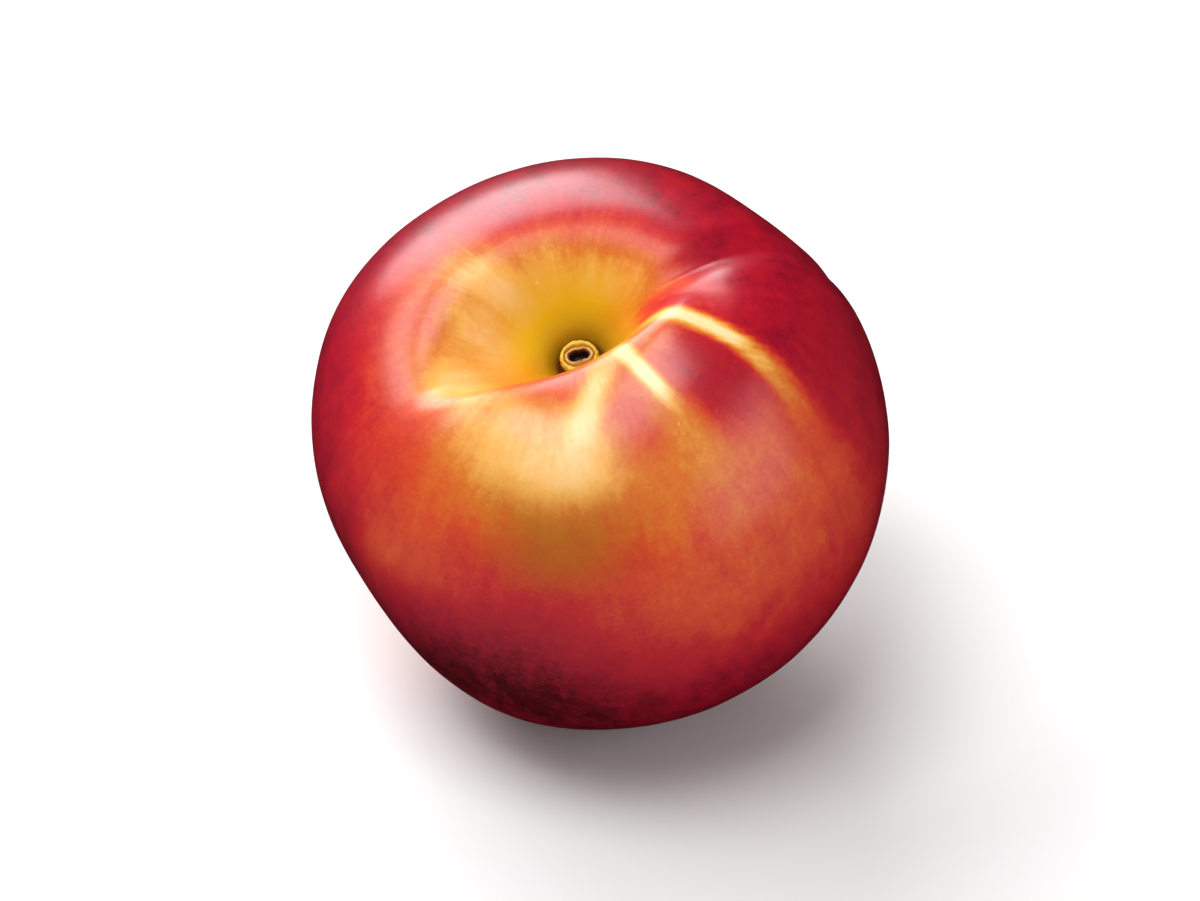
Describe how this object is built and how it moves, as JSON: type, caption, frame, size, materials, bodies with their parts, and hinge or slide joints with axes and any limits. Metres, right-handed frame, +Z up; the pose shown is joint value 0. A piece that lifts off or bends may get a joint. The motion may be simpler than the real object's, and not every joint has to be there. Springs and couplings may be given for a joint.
{
  "type": "nectarine",
  "caption": "Whole ripe nectarine: smooth red skin over yellow, a stem cavity with a ring of dry stalk, a shallow suture, and a small flat spot it rests on.",
  "frame": {"origin": "on the surface the fruit rests on, at the middle of the bounding box", "axes": "+Z up; -Y towards the side the stem cavity leans to; the suture leaves the cavity towards +X and a little +Y"},
  "size_m": [0.0686, 0.0692, 0.0619],
  "materials": {
    "skin": "smooth waxy fruit skin, crimson and orange over golden yellow, softly glossy",
    "stalk": "dry fibrous stalk, olive and brown, dull"
  },
  "bodies": {
    "root": {"nectarine": "skin", "stem_stub": "stalk"}
  },
  "joints": []
}
